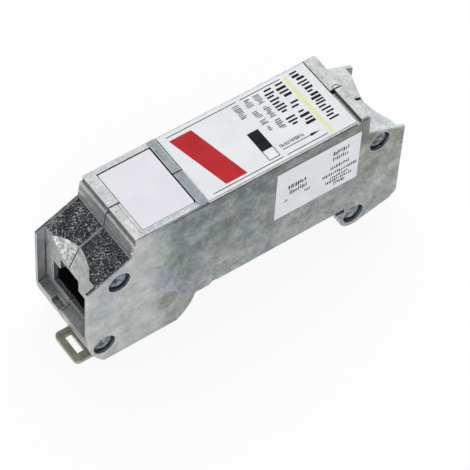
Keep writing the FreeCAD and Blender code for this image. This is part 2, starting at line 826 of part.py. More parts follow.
# Rail latch: a strap with a pull loop at the front, a slot for its spring and
# a joggle that lifts the nose to the level of the rail's edge.
latch_body = body_named("latch_strap")
loop_x = front - S["loop_proud"]
nose_x = -rail_half + S["nose_bite"]
latch_sketch = outline(latch_body, "latch_outline", "XZ_Plane", [
    (loop_x, strap_low),
    (ramp_start, strap_low),
    (ramp_end, nose_low),
    (nose_x - S["nose_bevel"], nose_low),
    (nose_x, nose_low + S["nose_bevel"]),
    (nose_x, nose_high),
    (ramp_end - S["ramp_lean"], nose_high),
    (ramp_start - S["ramp_lean"], strap_high),
    (loop_x, strap_high),
], S["strap_left"])
pad(latch_body, "latch_pad", latch_sketch, strap_right - S["strap_left"])
loop_window_x = loop_x + S["loop_bar"]
loop_window = box("loop_window", loop_window_x, loop_window_x + S["loop_window_length"],
                  -strap_right + S["loop_side_right"], -S["strap_left"] - S["loop_side_left"],
                  strap_low - 1, strap_high + 1)
spring_slot = box("spring_slot", slot_front, slot_rear, spring_y - slot_half,
                  spring_y + slot_half, strap_low - 1, strap_high + 1)
corner = S["loop_corner"]
corner_tools = []
for side, y_edge, inward in (("left", -S["strap_left"], -1), ("right", -strap_right, 1)):
    y_in = y_edge + corner * inward
    y_out = y_edge - size(inward)
    y_low, y_high = (y_in, y_out) if inward < 0 else (y_out, y_in)
    square = box("loop_corner_block_" + side, loop_x - 1, loop_x + corner, y_low, y_high,
                 strap_low - 1, strap_high + 1)
    round_part = rod("loop_corner_round_" + side, "Z", corner, S["strap_thick"] + 4,
                     loop_x + corner, y_in, strap_low - 2)
    corner_tools.append(cut("loop_corner_" + side, square, round_part))
finish(cut("rail_latch", latch_body, loop_window, spring_slot, *corner_tools), "rail_latch")

# Coil spring between the post in the right casting and the rear of the slot.
end_room = S["spring_end_gap"].value + S["spring_wire"].value
spring_start = post_rear.value + end_room
spring_run = slot_rear.value - end_room - spring_start
pitch = spring_run / S["spring_turns"].value
coil_radius = S["spring_radius"].value
helix = Part.makeHelix(pitch, spring_run, coil_radius)
start = FreeCAD.Vector(coil_radius, 0, 0)
lead = FreeCAD.Vector(0, 2 * math.pi * coil_radius, pitch)
wire_circle = Part.Wire([Part.makeCircle(S["spring_wire"].value, start, lead)])
coil = Part.Wire(helix.Edges).makePipeShell([wire_circle], True, True)
spring = doc.addObject("Part::Feature", "latch_spring")
spring.Shape = coil
spring.Placement = FreeCAD.Placement(FreeCAD.Vector(spring_start, spring_y.value, spring_z.value),
                                     FreeCAD.Rotation(Y_AXIS, 90))
made.append(spring)
finish(spring, "latch_spring")

# Circuit board on an insulating sheet.
board_front = front_inner + S["board_gap"]
board_rear = rear_inner - S["board_gap"]
finish(box("insulating_sheet", board_front, board_rear, -board_half, board_half,
           S["floor_wall"], board_low), "insulating_sheet")
finish(box("circuit_board", board_front, board_rear, -board_half, board_half,
           board_low, board_high), "circuit_board")

# Data sockets: plastic insert, metal skin and eight contact wires each.
jack = S["jack_half"]
skin = S["jack_skin"]
inset = skin + S["jack_gap"]
tab_half = S["latch_notch_half"]
tab_top = plug_high + S["latch_notch_height"]
jack_faces = {"input": (-1, front_inner + S["jack_set"]), "output": (1, rear_inner - S["jack_set"])}
for end, (sign, face) in jack_faces.items():
    shell = from_end(sign, face, end + "_shell", 0, S["jack_length"], -jack, jack,
                     board_high, jack_top)
    hollow = from_end(sign, face, end + "_shell_hollow", skin, S["jack_length"] - skin,
                      skin - jack, jack - skin, board_high - 1, jack_top - skin)
    window = from_end(sign, face, end + "_shell_window", -1, 1, -S["plug_half"], S["plug_half"],
                      plug_low, plug_high)
    notch = from_end(sign, face, end + "_shell_notch", -1, 1, -tab_half, tab_half,
                     plug_high - 0.5, tab_top)
    finish(cut(end + "_jack_shield", shell, hollow, window, notch), end + "_jack_shield")
    block = from_end(sign, face, end + "_insert", inset, S["jack_length"] - inset,
                     inset - jack, jack - inset, board_high, jack_top - inset)
    cavity = from_end(sign, face, end + "_cavity", 0, S["plug_depth"], -S["plug_half"],
                      S["plug_half"], plug_low, plug_high)
    tab_way = from_end(sign, face, end + "_tab_way", 0, S["latch_notch_depth"], -tab_half,
                       tab_half, plug_high - 0.5, tab_top)
    finish(cut(end + "_jack_body", block, cavity, tab_way), end + "_jack_body")
    wires = body_named(end + "_jack_contacts")
    wires.AllowCompound = True
    foot_x = face - S["contact_inset"] * sign
    bend_x = foot_x - S["contact_foot"] * sign
    tip_x = foot_x - S["contact_run"] * sign
    thick = S["contact_thick"]
    wire_profile = [
        (foot_x, plug_low),
        (bend_x, plug_low),
        (tip_x, plug_low + S["contact_rise"]),
        (tip_x, plug_low + S["contact_rise"] + thick),
        (bend_x, plug_low + thick),
        (foot_x, plug_low + thick),
    ]
    if sign > 0:
        wire_profile.reverse()
    row_length = S["contact_pitch"] * (S["contact_count"] - 1)
    wire_sketch = outline(wires, end + "_contact_profile", "XZ_Plane", wire_profile,
                          (row_length - S["contact_width"]) / 2)
    wire = pad(wires, end + "_contact", wire_sketch, S["contact_width"])
    doc.recompute()
    wire_row = wires.newObject("PartDesign::LinearPattern", end + "_contact_row")
    wire_row.Originals = [wire]
    wire_row.Direction = (plane_of(wires, "Y_Axis"), [""])
    bind(wire_row, "Length", row_length)
    bind(wire_row, "Occurrences", S["contact_count"])
    wires.Tip = wire_row
    made.append(wire_row)
    finish(wires, end + "_jack_contacts")

# Four gas discharge tubes with end caps and a middle ring, and four diode
# arrays, spread evenly over the board between the sockets and the earth leaf.
COUNT = 4
room_front = front_inner + S["jack_set"] + S["jack_length"]
room_rear = rear_inner - S["jack_set"] - S["jack_length"] - S["earth_bay"]
station = (room_rear - room_front) / COUNT
tube_z = board_high + S["tube_cap_radius"]
tube_y = S["tube_edge"] - board_half
array_y = board_half - S["array_edge"] - S["lead_reach"] - S["array_width"] / 2
case_low = board_high + S["array_stand"]
for number in range(COUNT):
    name = "gas_tube_%d" % (number + 1)
    x = room_front + station * (number + 0.5)
    core = rod(name + "_core", "Y", S["tube_radius"], S["tube_length"], x, tube_y, tube_z)
    rings = []
    last_ring = S["tube_length"] - S["tube_cap_width"]
    for spot, shift in (("right", size(0)), ("middle", last_ring / 2), ("left", last_ring)):
        rings.append(rod("%s_ring_%s" % (name, spot), "Y", S["tube_cap_radius"],
                         S["tube_cap_width"], x, tube_y + shift, tube_z))
    finish(fuse(name, core, *rings), name)
    name = "diode_array_%d" % (number + 1)
    half_length = S["array_length"] / 2
    half_depth = S["array_width"] / 2
    pieces = [box(name + "_case", x - half_length, x + half_length, array_y - half_depth,
                  array_y + half_depth, case_low, case_low + S["array_height"])]
    for leg in range(4):
        leg_x = x - half_length + S["array_length"] * (leg + 0.5) / 4
        leg_low = leg_x - S["lead_width"] / 2
        leg_high = leg_x + S["lead_width"] / 2
        for side, outward in (("right", -1), ("left", 1)):
            root = array_y + half_depth * outward
            foot = sorted((root, root + S["lead_reach"] * outward), key=lambda y: y.value)
            riser = sorted((root, root + S["lead_thick"] * outward), key=lambda y: y.value)
            tag = "%s_leg_%d_%s" % (name, leg, side)
            pieces.append(box(tag, leg_low, leg_high, foot[0], foot[1],
                              board_high, board_high + S["lead_thick"]))
            pieces.append(box(tag + "_riser", leg_low, leg_high, riser[0], riser[1],
                              board_high, board_high + S["lead_height"]))
    finish(fuse(name, *pieces), name)

# Leaf that takes the board's earth to the left casting.
leaf_x = room_rear + S["earth_bay"] / 2
leaf_low = leaf_x - S["earth_spring_width"] / 2
leaf_high = leaf_x + S["earth_spring_width"] / 2
leaf_y = inner_half
foot_leaf = box("earth_foot", leaf_low, leaf_high, leaf_y - S["earth_spring_foot"], leaf_y,
                board_high, board_high + S["earth_spring_thick"])
upright = box("earth_upright", leaf_low, leaf_high, leaf_y - S["earth_spring_thick"], leaf_y,
              board_high, board_high + S["earth_spring_height"])
finish(fuse("earth_spring", foot_leaf, upright), "earth_spring")

doc.recompute()

faults = []
for thing in doc.Objects:
    if "Invalid" in thing.State or "Error" in thing.State:
        faults.append("%s: %s" % (thing.Label, ", ".join(thing.State)))
for thing in nodes:
    shape = thing.Shape
    if shape.isNull() or not shape.isValid() or not shape.Solids:
        faults.append("%s: no valid solid" % thing.Label)
if faults:
    raise RuntimeError("; ".join(faults))

os.makedirs("parts", exist_ok=True)
for thing in nodes:
    thing.Shape.exportStep("parts/%s.step" % thing.Label)
    box_of = thing.Shape.BoundBox
    print("%-22s %2d solid %9.2f mm3  x %7.2f %7.2f  y %6.2f %6.2f  z %6.2f %6.2f" % (
        thing.Label, len(thing.Shape.Solids), thing.Shape.Volume, box_of.XMin, box_of.XMax,
        box_of.YMin, box_of.YMax, box_of.ZMin, box_of.ZMax))
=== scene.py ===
import bpy
import bmesh
import math
import random
from mathutils import Matrix, Vector


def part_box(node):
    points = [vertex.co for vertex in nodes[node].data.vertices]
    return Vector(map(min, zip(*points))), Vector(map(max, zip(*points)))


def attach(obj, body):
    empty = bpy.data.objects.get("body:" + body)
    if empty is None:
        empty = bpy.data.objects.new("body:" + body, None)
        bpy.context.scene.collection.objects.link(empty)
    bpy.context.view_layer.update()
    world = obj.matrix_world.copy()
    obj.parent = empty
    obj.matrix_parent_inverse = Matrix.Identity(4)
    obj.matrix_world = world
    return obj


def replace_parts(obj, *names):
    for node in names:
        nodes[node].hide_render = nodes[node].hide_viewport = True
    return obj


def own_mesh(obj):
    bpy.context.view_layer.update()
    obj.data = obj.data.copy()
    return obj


# A data line surge protector: a zinc die casting in two halves with printed
# labels, seen from above its front end and its right side. Lengths here are in
# millimetres and become metres through mm().

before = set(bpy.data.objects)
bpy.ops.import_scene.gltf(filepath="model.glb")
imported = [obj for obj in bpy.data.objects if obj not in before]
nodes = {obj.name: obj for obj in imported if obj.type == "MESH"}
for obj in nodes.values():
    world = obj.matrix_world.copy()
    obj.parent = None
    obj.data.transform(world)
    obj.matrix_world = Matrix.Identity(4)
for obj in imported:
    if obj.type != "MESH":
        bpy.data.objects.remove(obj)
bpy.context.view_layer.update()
scene = bpy.context.scene
scene.view_settings.view_transform = "Standard"


def mm(*values):
    """Metres from millimetres: a number from one value, a vector from more."""
    scaled = [value / 1000.0 for value in values]
    return scaled[0] if len(scaled) == 1 else Vector(scaled)


def each(size):
    """Texture scale at which one repeat of a pattern is this many millimetres."""
    return 1000.0 / size


def node_box(name):
    """Lowest and highest corner of a CAD node, in millimetres."""
    low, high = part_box(name)
    return low * 1000.0, high * 1000.0


def colour(code):
    """Linear colour of an sRGB hex code such as 'c8c8c8'."""
    channels = []
    for start in (0, 2, 4):
        share = int(code[start:start + 2], 16) / 255.0
        if share <= 0.04045:
            channels.append(share / 12.92)
        else:
            channels.append(((share + 0.055) / 1.055) ** 2.4)
    return (channels[0], channels[1], channels[2], 1.0)


# The camera stands at the photograph's viewing angle.

camera_place = mm(-215.404, -266.509, 455.5)
camera_right = Vector((0.81624, -0.57618, 0.04207)).normalized()
camera_axis = Vector((0.37032, 0.46592, -0.80361)).normalized()
camera_up = camera_right.cross(camera_axis).normalized()
camera_data = bpy.data.cameras.new("camera")
camera_data.lens = 206.6
camera_data.sensor_width = 36.0
camera_data.clip_start = 0.02
camera_data.clip_end = 5.0
camera = bpy.data.objects.new("camera", camera_data)
scene.collection.objects.link(camera)
camera_turn = Matrix((camera_right, camera_up, -camera_axis)).transposed().to_4x4()
camera.matrix_world = Matrix.Translation(camera_place) @ camera_turn
scene.camera = camera


# Finishes

def new_material(name):
    material = bpy.data.materials.new(name)
    material.use_nodes = True
    material.node_tree.nodes.clear()
    return material, material.node_tree


def add(tree, kind, settings=None, **links):
    """Adds a node. Settings are attributes or socket values by name, the stops
    of a colour ramp, or the two ends of a range's From and To. Links go to an
    input by its name or number; they are output sockets, or nodes, of which the
    first output in use is taken. A principled shader is put on the surface."""
    node = tree.nodes.new(kind)
    for key, value in (settings or {}).items():
        if key == "stops":
            elements = node.color_ramp.elements
            while len(elements) < len(value):
                elements.new(0.5)
            for element, (position, tone) in zip(elements, value):
                element.position = position
                element.color = colour(tone) if isinstance(tone, str) else (tone, tone, tone, 1.0)
        elif key in ("From", "To"):
            for end, limit in zip((" Min", " Max"), value):
                node.inputs[key + end].default_value = limit
        elif isinstance(key, int) or key in node.inputs:
            node.inputs[key].default_value = value
        else:
            setattr(node, key, value)
    for key, source in links.items():
        target = int(key[3:]) if key.startswith("in_") else key.replace("_", " ")
        if isinstance(source, bpy.types.Node):
            source = next(output for output in source.outputs if output.enabled)
        tree.links.new(source, node.inputs[target])
    if kind == "ShaderNodeBsdfPrincipled":
        out = tree.nodes.new("ShaderNodeOutputMaterial")
        tree.links.new(node.outputs["BSDF"], out.inputs["Surface"])
    return node


# Places on the casting where its skin, or its painted light and shade, changes. A facing
# is the direction in which a face looks; a pair gives the start and the end of a change.
slope_facing = (-0.41, 0.0, 0.91)
scoop_facing = (-0.80, -0.42, 0.43)
over_socket_z = (12.0, 14.0)
past_foot_x = (-34.0, -24.0)
up_the_wall_z = (2.0, 22.0)
protected_end_x = (12.0, 26.0)
brim_shade_z = (27.8, 28.3)
ejector_mark = (-27.95, -9.7, 2.8)
ejector_mark_rim = (3.1, 1.6)
bar_middle_x = -19.45
bar_rim = (1.45, 1.15)
bar_top_z = (28.0, 28.2)
parting_line_rim = (0.2, 0.13)
# cosine between the slope and the chamfer that the parting line has on it
slope_chamfer = 0.706


def flow_marks(tree, place):
    """Patterns that the metal leaves as it fills the mould and sets."""
    return {
        "clouds": add(tree, "ShaderNodeTexNoise", {"Scale": each(4.2), "Detail": 6.0, "Roughness": 0.66,
                                                   "Distortion": 0.3}, Vector=place),
        "blots": add(tree, "ShaderNodeTexNoise", {"Scale": each(0.85), "Detail": 4.0, "Roughness": 0.65,
                                                  "Distortion": 0.3}, Vector=place),
        # the real grain is near 0.1 mm and is drawn coarser, so that it shows
        "grain": add(tree, "ShaderNodeTexNoise", {"Scale": each(0.38), "Detail": 3.0, "Roughness": 0.7},
                     Vector=place),
        "curls": add(tree, "ShaderNodeTexNoise", {"noise_type": "RIDGED_MULTIFRACTAL", "Scale": each(1.3),
                                                  "Detail": 2.0, "Distortion": 1.6}, Vector=place),
        "hues": add(tree, "ShaderNodeTexNoise", {"Scale": each(8.0), "Detail": 3.0}, Vector=place),
    }


def cast_zones(tree, axes, normal, flow):
    """Masks of the faces and edges whose skin, or whose painted light and shade, differs from the rest."""
    # edges, convex and concave alike, are picked out to be painted pale: partly real wear, partly a
    # painted highlight
    rounded_edge_normal = add(tree, "ShaderNodeBevel", {"samples": 6, "Radius": mm(0.24)})
    flat = add(tree, "ShaderNodeVectorMath", {"operation": "DOT_PRODUCT"}, in_0=rounded_edge_normal, in_1=normal)
    edge = add(tree, "ShaderNodeMapRange", {"From": (0.99, 0.88)}, Value=flat)
    # the slope over the front socket has a rough skin, which is painted dark as a painted reflection of a
    # dark surround
    slope = add(tree, "ShaderNodeVectorMath", {"operation": "DOT_PRODUCT", 1: slope_facing}, in_0=normal)
    sloping = add(tree, "ShaderNodeMapRange", {"From": (0.97, 0.99)}, Value=slope)
    above = add(tree, "ShaderNodeMapRange", {"From": mm(*over_socket_z)}, Value=axes["Z"])
    rough_slope_painted_dark = add(tree, "ShaderNodeMath", {"operation": "MULTIPLY"}, in_0=sloping, in_1=above)
    # faces of the scoop that look one way, over its left half, get a painted highlight in blots
    scooped = add(tree, "ShaderNodeVectorMath", {"operation": "DOT_PRODUCT", 1: scoop_facing}, in_0=normal)
    scoop_highlight_facing = add(tree, "ShaderNodeMapRange", {"From": (0.86, 0.98), "To": (0.0, 0.85)}, Value=scooped)
    blotted = add(tree, "ShaderNodeMapRange", {"From": (0.44, 0.6)}, Value=flow["blots"])
    painted_scoop_highlight = add(tree, "ShaderNodeMath", {"operation": "MULTIPLY"}, in_0=scoop_highlight_facing, in_1=blotted)
    # the side walls are smoother than every other face
    sideways = add(tree, "ShaderNodeSeparateXYZ", in_0=normal).outputs["Y"]
    aside = add(tree, "ShaderNodeMath", {"operation": "ABSOLUTE"}, in_0=sideways)
    wall = add(tree, "ShaderNodeMapRange", {"From": (0.8, 0.95)}, Value=aside)
    coarse_face = add(tree, "ShaderNodeMapRange", {"From": (0.98, 0.9), "To": (0.45, 1.0)}, Value=aside)
    # the side walls are painted darker past the front foot, in clouds and most of all
    # towards their top: a painted dark reflection
    past_foot = add(tree, "ShaderNodeMapRange", {"interpolation_type": "SMOOTHSTEP",
                                                 "From": mm(*past_foot_x)}, Value=axes["X"])
    upward = add(tree, "ShaderNodeMapRange", {"From": mm(*up_the_wall_z), "To": (0.45, 0.95)},
                 Value=axes["Z"])
    darkening_past_foot_and_up = add(tree, "ShaderNodeMath", {"operation": "MULTIPLY"}, in_0=past_foot, in_1=upward)
    cloudy = add(tree, "ShaderNodeMapRange", {"From": (0.35, 0.65), "To": (1.15, 0.65)},
                 Value=flow["clouds"])
    uneven = add(tree, "ShaderNodeMath", {"operation": "MULTIPLY", "use_clamp": True}, in_0=darkening_past_foot_and_up,
                 in_1=cloudy)
    painted_wall_darkening = add(tree, "ShaderNodeMath", {"operation": "MULTIPLY"}, in_0=uneven, in_1=wall)
    return {"edge": edge, "slope": slope, "above": above, "rough_slope_painted_dark": rough_slope_painted_dark, "painted_scoop_highlight": painted_scoop_highlight, "wall": wall,
            "coarse_face": coarse_face, "past_foot": past_foot, "painted_wall_darkening": painted_wall_darkening}


def cast_colour(tree, axes, flow, zone):
    """Colour of the metal as it comes from the mould and the tumbler, with painted light laid on it: a
    painted dark reflection with painted glints on the front slope, a painted highlight in the scoop and a
    painted darkening of the side walls.
    """
    tone = add(tree, "ShaderNodeValToRGB", {"stops": [(0.30, "aaaeb0"), (0.50, "c2c5c6"),
                                                      (0.70, "d8dada")]}, Fac=flow["clouds"])
    spots = add(tree, "ShaderNodeValToRGB", {"stops": [(0.32, "b2b5b5"), (0.50, "e6e7e6"),
                                                       (0.64, "ffffff")]}, Fac=flow["blots"])
    # the sides of the pale foot are the least mottled
    end_face = add(tree, "ShaderNodeMath", {"operation": "SUBTRACT", 0: 1.0}, in_1=zone["wall"])
    mottled_zone = add(tree, "ShaderNodeMath", {"operation": "MAXIMUM"}, in_0=zone["past_foot"],
                       in_1=end_face)
    mottling = add(tree, "ShaderNodeMapRange", {"To": (0.42, 0.78)}, Value=mottled_zone)
    mottled = add(tree, "ShaderNodeMix", {"data_type": "RGBA", "blend_type": "MULTIPLY"},
                  in_0=mottling, in_6=tone, in_7=spots)
    tint = add(tree, "ShaderNodeValToRGB", {"stops": [(0.36, "eff2fa"), (0.47, "f5f8f7"), (0.56, "f4f6f0"),
                                                      (0.66, "f8f4f6")]}, Fac=flow["hues"])
    tinted = add(tree, "ShaderNodeMix", {"data_type": "RGBA", "blend_type": "MULTIPLY", "Factor": 1.0},
                 in_6=mottled, in_7=tint)
    # towards the protected end the painted darkening of the walls is lighter and a little olive
    olive = add(tree, "ShaderNodeMapRange", {"From": mm(*protected_end_x)}, Value=axes["X"])
    wall_darkening_hue = add(tree, "ShaderNodeMix", {"data_type": "RGBA", 6: colour("a0a9a8"),
                                           7: colour("b5b7a6")}, in_0=olive)
    walls_painted_dark = add(tree, "ShaderNodeMix", {"data_type": "RGBA", "blend_type": "MULTIPLY"},
                 in_0=zone["painted_wall_darkening"], in_6=tinted, in_7=wall_darkening_hue)
    # painted highlight of the scoop, near-white in blots
    scoop_highlighted = add(tree, "ShaderNodeMix", {"data_type": "RGBA", 7: colour("f4f5f6")},
                   in_0=zone["painted_scoop_highlight"], in_6=walls_painted_dark)
    # the rough skin of the slope is painted as a dark reflection, with painted glints as bright specks and
    # worm-like curls
    cluster = add(tree, "ShaderNodeMapRange", {"From": (0.3, 0.7), "To": (-0.08, 0.08)},
                  Value=flow["clouds"])
    clustered = add(tree, "ShaderNodeMath", {"operation": "ADD"}, in_0=flow["grain"], in_1=cluster)
    painted_glint_specks = add(tree, "ShaderNodeValToRGB", {"stops": [(0.42, "3c4245"), (0.56, "6f7578"),
                                                       (0.65, "f4f6f6")]}, Fac=clustered)
    painted_glint_curls = add(tree, "ShaderNodeMapRange", {"From": (0.72, 0.95), "To": (0.0, 0.6)}, Value=flow["curls"])
    painted_slope_reflection = add(tree, "ShaderNodeMix", {"data_type": "RGBA", 7: colour("b4b7b8")},
                  in_0=painted_glint_curls, in_6=painted_glint_specks)
    return add(tree, "ShaderNodeMix", {"data_type": "RGBA"}, in_0=zone["rough_slope_painted_dark"], in_6=scoop_highlighted,
               in_7=painted_slope_reflection)


def stain_bar_and_brim_shade(tree, place, axes, zone, cast):
    """The cast colour with its stain, its darker bar and a painted shade along its brim."""
    # a dull stain lies on the ejector mark of the right side
    from_mark = add(tree, "ShaderNodeVectorMath", {"operation": "SUBTRACT", 1: mm(*ejector_mark)},
                    in_0=place)
    off_mark = add(tree, "ShaderNodeVectorMath", {"operation": "LENGTH"}, in_0=from_mark)
    on_mark = add(tree, "ShaderNodeMapRange", {"From": mm(*ejector_mark_rim), "To": (0.0, 0.8)},
                  Value=off_mark)
    stained = add(tree, "ShaderNodeMix", {"data_type": "RGBA", "blend_type": "MULTIPLY",
                                          7: colour("cfcfc4")}, in_0=on_mark, in_6=cast)
    # the bar between plate and label is drawn darker along its length
    from_bar = add(tree, "ShaderNodeMath", {"operation": "ADD", 1: -mm(bar_middle_x)}, in_0=axes["X"])
    off_bar = add(tree, "ShaderNodeMath", {"operation": "ABSOLUTE"}, in_0=from_bar)
    on_bar = add(tree, "ShaderNodeMapRange", {"From": mm(*bar_rim), "To": (0.0, 0.85)}, Value=off_bar)
    at_top = add(tree, "ShaderNodeMapRange", {"From": mm(*bar_top_z)}, Value=axes["Z"])
    bar = add(tree, "ShaderNodeMath", {"operation": "MULTIPLY"}, in_0=on_bar, in_1=at_top)
    bar_darkened = add(tree, "ShaderNodeMix", {"data_type": "RGBA", "blend_type": "MULTIPLY",
                                          7: colour("b4bcc0")}, in_0=bar, in_6=stained)
    # a painted shade runs as a dark line along the top of the side walls, past the pale foot
    painted_brim_shade = add(tree, "ShaderNodeMapRange", {"From": mm(*brim_shade_z), "To": (0.0, 0.8)}, Value=axes["Z"])
    brim_shade_past_foot = add(tree, "ShaderNodeMath", {"operation": "MULTIPLY"}, in_0=painted_brim_shade,
                         in_1=zone["past_foot"])
    brim_shade_on_wall = add(tree, "ShaderNodeMath", {"operation": "MULTIPLY"}, in_0=brim_shade_past_foot,
                       in_1=zone["wall"])
    return add(tree, "ShaderNodeMix", {"data_type": "RGBA", "blend_type": "MULTIPLY",
                                       7: colour("828886")}, in_0=brim_shade_on_wall, in_6=bar_darkened)


def edges_seam_and_groove_shade(tree, axes, zone, marked):
    """The marked colour with pale edges that are partly wear and partly a painted highlight, the parting
    line and painted shade in the corners.
    """
    # edges are painted pale: partly real wear, partly a painted highlight
    edges_worn_and_highlit = add(tree, "ShaderNodeMix", {"data_type": "RGBA", 7: colour("eceeef")}, in_0=zone["edge"],
               in_6=marked)
    # the parting line is drawn dark, and high on the rough slope and on its chamfer there it gets a
    # painted highlight instead
    off_line = add(tree, "ShaderNodeMath", {"operation": "ABSOLUTE"}, in_0=axes["Y"])
    on_line = add(tree, "ShaderNodeMapRange", {"From": mm(*parting_line_rim), "To": (0.0, 0.9)},
                  Value=off_line)
    seam_chamfer_facing = add(tree, "ShaderNodeMath", {"operation": "COMPARE", 1: slope_chamfer, 2: 0.025},
                 in_0=zone["slope"])
    on_slope = add(tree, "ShaderNodeMath", {"operation": "MAXIMUM"}, in_0=zone["rough_slope_painted_dark"], in_1=seam_chamfer_facing)
    high_up = add(tree, "ShaderNodeMath", {"operation": "MULTIPLY"}, in_0=on_slope, in_1=zone["above"])
    line_tone = add(tree, "ShaderNodeMix", {"data_type": "RGBA", 6: colour("4c5254"),
                                            7: colour("f0f3f4")}, in_0=high_up)
    parted = add(tree, "ShaderNodeMix", {"data_type": "RGBA"}, in_0=on_line, in_6=edges_worn_and_highlit, in_7=line_tone)
    # painted shade darkens the narrow grooves and corners, from ambient occlusion
    corner = add(tree, "ShaderNodeAmbientOcclusion", {"samples": 8, "Distance": mm(0.55)}).outputs["AO"]
    painted_groove_shade = add(tree, "ShaderNodeMapRange", {"From": (0.4, 0.9), "To": (0.12, 1.0)}, Value=corner)
    return add(tree, "ShaderNodeMix", {"data_type": "RGBA", "blend_type": "MULTIPLY", "Factor": 1.0},
               in_6=parted, in_7=painted_groove_shade)


def cast_relief(tree, flow, zone):
    """Pits, grain and flow curls, on edges that the tumbler has rounded."""
    fine = add(tree, "ShaderNodeMath", {"operation": "MULTIPLY", 1: 0.4}, in_0=flow["grain"])
    pitted = add(tree, "ShaderNodeMath", {"operation": "MULTIPLY_ADD", 1: 0.5}, in_0=flow["blots"],
                 in_2=fine)
    skin = add(tree, "ShaderNodeMath", {"operation": "MULTIPLY"}, in_0=pitted, in_1=zone["coarse_face"])
    curled = add(tree, "ShaderNodeMath", {"operation": "MULTIPLY"}, in_0=flow["curls"],
                 in_1=zone["rough_slope_painted_dark"])
    relief = add(tree, "ShaderNodeMath", {"operation": "MULTIPLY_ADD", 1: 0.9}, in_0=curled, in_2=skin)
    rounded = add(tree, "ShaderNodeBevel", {"samples": 4, "Radius": mm(0.13)})
    return add(tree, "ShaderNodeBump", {"Strength": 1.0, "Distance": mm(0.11)}, Height=relief,
               Normal=rounded)


def bare_zinc():
    """Bare zinc, pressure die cast and tumbled: satin metal with cloudy flow
    marks, cool and warm tints and fine pits. Painted light lies on it too: pale edges that are partly wear
    and partly a painted highlight, a painted dark reflection with painted glints on the front slope, a
    painted highlight in the scoop, a painted darkening of the side walls and painted shade along their
    brim and in the grooves."""
    material, tree = new_material("zinc die casting")
    place = add(tree, "ShaderNodeTexCoord").outputs["Object"]
    axes = add(tree, "ShaderNodeSeparateXYZ", in_0=place).outputs
    normal = add(tree, "ShaderNodeNewGeometry").outputs["True Normal"]
    flow = flow_marks(tree, place)
    zone = cast_zones(tree, axes, normal, flow)
    cast = cast_colour(tree, axes, flow, zone)
    marked = stain_bar_and_brim_shade(tree, place, axes, zone, cast)
    tone = edges_seam_and_groove_shade(tree, axes, zone, marked)
    gloss = add(tree, "ShaderNodeMapRange", {"From": (0.3, 0.7), "To": (0.30, 0.44)}, Value=flow["blots"])
    # rubbed edges, which also carry a painted highlight, are less metallic and stay pale from any side
    bare = add(tree, "ShaderNodeMapRange", {"To": (0.78, 0.35)}, Value=zone["edge"])
    add(tree, "ShaderNodeBsdfPrincipled", Base_Color=tone, Metallic=bare, Roughness=gloss,
        Normal=cast_relief(tree, flow, zone))
    return material


def metal(name, dark, light, roughness, cell, relief, metallic=1.0):
    """A worked metal, a little darker and duller in places. Its cells of tone
    and its relief are in millimetres."""
    material, tree = new_material(name)
    place = add(tree, "ShaderNodeTexCoord").outputs["Object"]
    drift = add(tree, "ShaderNodeTexNoise", {"Scale": each(cell), "Detail": 3.0}, Vector=place)
    marks = add(tree, "ShaderNodeTexNoise", {"Scale": each(cell / 4), "Detail": 2.0}, Vector=place)
    tone = add(tree, "ShaderNodeValToRGB", {"stops": [(0.35, dark), (0.65, light)]}, Fac=drift)
    smooth, dull = roughness - 0.06, roughness + 0.06
    gloss = add(tree, "ShaderNodeMapRange", {"From": (0.3, 0.7), "To": (smooth, dull)}, Value=marks)
    rounded = add(tree, "ShaderNodeBevel", {"samples": 4, "Radius": mm(0.12)})
    bump = add(tree, "ShaderNodeBump", {"Strength": 1.0, "Distance": mm(relief)}, Height=marks,
               Normal=rounded)
    add(tree, "ShaderNodeBsdfPrincipled", {"Metallic": metallic}, Base_Color=tone, Roughness=gloss,
        Normal=bump)
    return material


def moulded(name, dark, light, roughness, cell, relief, shine=0.45):
    """A moulded or coated non-metal with a faint skin texture, whose cells and
    relief are in millimetres."""
    material, tree = new_material(name)
    place = add(tree, "ShaderNodeTexCoord").outputs["Object"]
    drift = add(tree, "ShaderNodeTexNoise", {"Scale": each(cell * 12), "Detail": 2.0}, Vector=place)
    skin = add(tree, "ShaderNodeTexNoise", {"Scale": each(cell), "Detail": 2.0}, Vector=place)
    tone = add(tree, "ShaderNodeValToRGB", {"stops": [(0.35, dark), (0.65, light)]}, Fac=drift)
    smooth, dull = roughness - 0.05, roughness + 0.05
    gloss = add(tree, "ShaderNodeMapRange", {"From": (0.3, 0.7), "To": (smooth, dull)}, Value=skin)
    bump = add(tree, "ShaderNodeBump", {"Strength": 1.0, "Distance": mm(relief)}, Height=skin)
    add(tree, "ShaderNodeBsdfPrincipled", {"Specular IOR Level": shine}, Base_Color=tone,
        Roughness=gloss, Normal=bump)
    return material


zinc = bare_zinc()
# zinc-plated steel, bright with a blue cast
rivet_steel = metal("blue zinc-plated steel", "353d45", "8b969f", roughness=0.22, cell=1.1, relief=0.03)
# steel strip with an olive passivation, dull and a little yellow
strap_steel = metal("olive passivated strip steel", "8b8a7b", "b3b19d", roughness=0.4, cell=2.0,
                    relief=0.02, metallic=0.45)
# drawn spring wire, grey and fairly bright
spring_steel = metal("drawn spring wire", "77797c", "9da0a3", roughness=0.3, cell=1.0, relief=0.01)
# tin-plated sheet round the sockets, soft white metal
tinned_sheet = metal("tin-plated sheet", "9fa2a4", "c4c6c6", roughness=0.34, cell=2.0, relief=0.01)
# gold over nickel on the contact wires
gold_wire = metal("gold-plated wire", "c29a3c", "e2c26a", roughness=0.24, cell=0.8, relief=0.005)
# rolled spring bronze, warm and smooth
bronze_strip = metal("spring bronze strip", "a06f43", "c08f5c", roughness=0.3, cell=1.6, relief=0.01)
# smooth satin polyamide of the blank plate, white with a breath of lilac
plate_plastic = moulded("white polyamide", "d9d8e1", "dfdee4", roughness=0.42, cell=0.5, relief=0.006)
